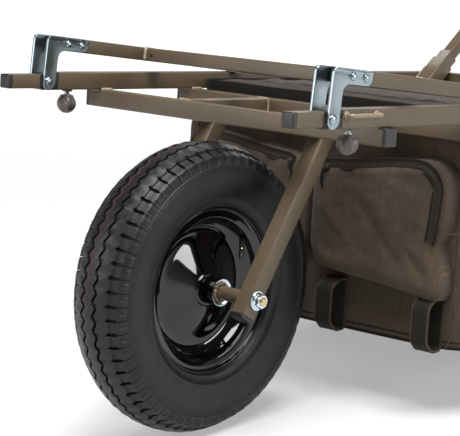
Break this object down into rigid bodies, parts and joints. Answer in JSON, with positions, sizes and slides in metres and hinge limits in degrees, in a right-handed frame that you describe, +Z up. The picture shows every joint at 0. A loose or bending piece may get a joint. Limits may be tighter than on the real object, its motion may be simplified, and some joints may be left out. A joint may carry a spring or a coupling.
{
  "type": "fishing trolley",
  "caption": "Single-wheel fishing trolley with a square-tube frame, sliding front extension, folding load stop, slide-out handles and an under-slung bag with a front pocket.",
  "frame": {"origin": "on the floor, at the middle of the whole trolley's outline seen from above", "axes": "+X forward towards the wheel, +Y to the trolley's left, +Z up; the rails slope down 6 degrees to the rear"},
  "size_m": [1.468, 0.592, 0.6579],
  "materials": {
    "paint": "satin brown-olive powder coat with a fine orange peel",
    "zinc": "bright zinc plate, slightly blue, faintly brushed",
    "tyre": "matt black tyre rubber",
    "inner_tube": "matt black rubber",
    "gloss_black": "high gloss black enamel",
    "black_nylon": "black moulded nylon, faintly ribbed",
    "knob": "brown-grey moulded plastic",
    "grip_rubber": "black ribbed rubber",
    "fabric": "dark brown fine woven coated fabric",
    "webbing": "olive woven webbing"
  },
  "bodies": {
    "frame": {"axle_bolt": "zinc", "axle_nut": "zinc", "axle_spacer_left": "paint", "axle_spacer_right": "paint", "bag_body": "fabric", "bag_loop_inner_left": "webbing", "bag_loop_inner_right": "webbing", "bag_loop_outer_left": "webbing", "bag_loop_outer_right": "webbing", "bag_pocket": "fabric", "bridge_tube_left": "paint", "bridge_tube_right": "paint", "foot_left": "grip_rubber", "foot_right": "grip_rubber", "fork_leg_left": "paint", "fork_leg_right": "paint", "fork_plug_left": "black_nylon", "fork_plug_right": "black_nylon", "front_bar_plug_left": "black_nylon", "front_bar_plug_right": "black_nylon", "front_cross_bar": "paint", "handle_socket_left": "paint", "handle_socket_right": "paint", "middle_bar_plug_left": "black_nylon", "middle_bar_plug_right": "black_nylon", "middle_cross_bar": "paint", "rear_cross_bar": "paint", "rear_leg_left": "paint", "rear_leg_right": "paint", "side_rail_left": "paint", "side_rail_right": "paint", "tie_loop_left": "paint", "tie_loop_right": "paint"},
    "wheel": {"tyre": "tyre", "inner_tube": "inner_tube", "wheel_rim": "gloss_black", "hub_tube": "gloss_black", "hub_bearings": "zinc"},
    "front_extension": {"extension_tube_left": "paint", "extension_cap_left": "black_nylon", "pivot_block_left": "black_nylon", "extension_tube_right": "paint", "extension_cap_right": "black_nylon", "pivot_block_right": "black_nylon"},
    "load_stop": {"stop_arm_left": "paint", "stop_plates_left": "zinc", "arm_plug_left": "black_nylon", "stop_arm_right": "paint", "stop_plates_right": "zinc", "arm_plug_right": "black_nylon", "stop_inner_bar": "paint", "stop_end_bar": "paint"},
    "rail_knob_left": {"rail_knob_left": "knob"},
    "handle_knob_left": {"handle_knob_left": "knob"},
    "handle_left": {"handle_tube_left": "paint", "handle_grip_left": "grip_rubber"},
    "rail_knob_right": {"rail_knob_right": "knob"},
    "handle_knob_right": {"handle_knob_right": "knob"},
    "handle_right": {"handle_tube_right": "paint", "handle_grip_right": "grip_rubber"}
  },
  "joints": [
    {"name": "wheel_spin", "type": "hinge", "parent": "frame", "child": "wheel", "pos_m": [0.53155, 0, 0.203], "axis": [0, 1, 0], "continuous": true},
    {"name": "extension_slide", "type": "slide", "parent": "frame", "child": "front_extension", "axis": [0.9945, 0, 0.1045], "range_m": [0, 0.18]},
    {"name": "load_stop_fold", "type": "hinge", "parent": "front_extension", "child": "load_stop", "pos_m": [0.56784, 0, 0.47006], "axis": [0, 1, 0], "range_deg": [0, 94.6]},
    {"name": "rail_knob_left_turn", "type": "hinge", "parent": "frame", "child": "rail_knob_left", "pos_m": [0.52238, 0.2625, 0.44336], "axis": [-0.1045, 0, 0.9945], "continuous": true},
    {"name": "rail_knob_right_turn", "type": "hinge", "parent": "frame", "child": "rail_knob_right", "pos_m": [0.52238, -0.2625, 0.44336], "axis": [-0.1045, 0, 0.9945], "continuous": true},
    {"name": "handle_left_slide", "type": "slide", "parent": "frame", "child": "handle_left", "axis": [-0.8339, 0, 0.5519], "range_m": [0, 0.06]},
    {"name": "handle_right_slide", "type": "slide", "parent": "frame", "child": "handle_right", "axis": [-0.8339, 0, 0.5519], "range_m": [0, 0.06]},
    {"name": "handle_knob_left_turn", "type": "hinge", "parent": "frame", "child": "handle_knob_left", "pos_m": [-0.31742, 0.2347, 0.3562], "axis": [-0.5519, 0, -0.8339], "continuous": true},
    {"name": "handle_knob_right_turn", "type": "hinge", "parent": "frame", "child": "handle_knob_right", "pos_m": [-0.31742, -0.2347, 0.3562], "axis": [-0.5519, 0, -0.8339], "continuous": true}
  ]
}
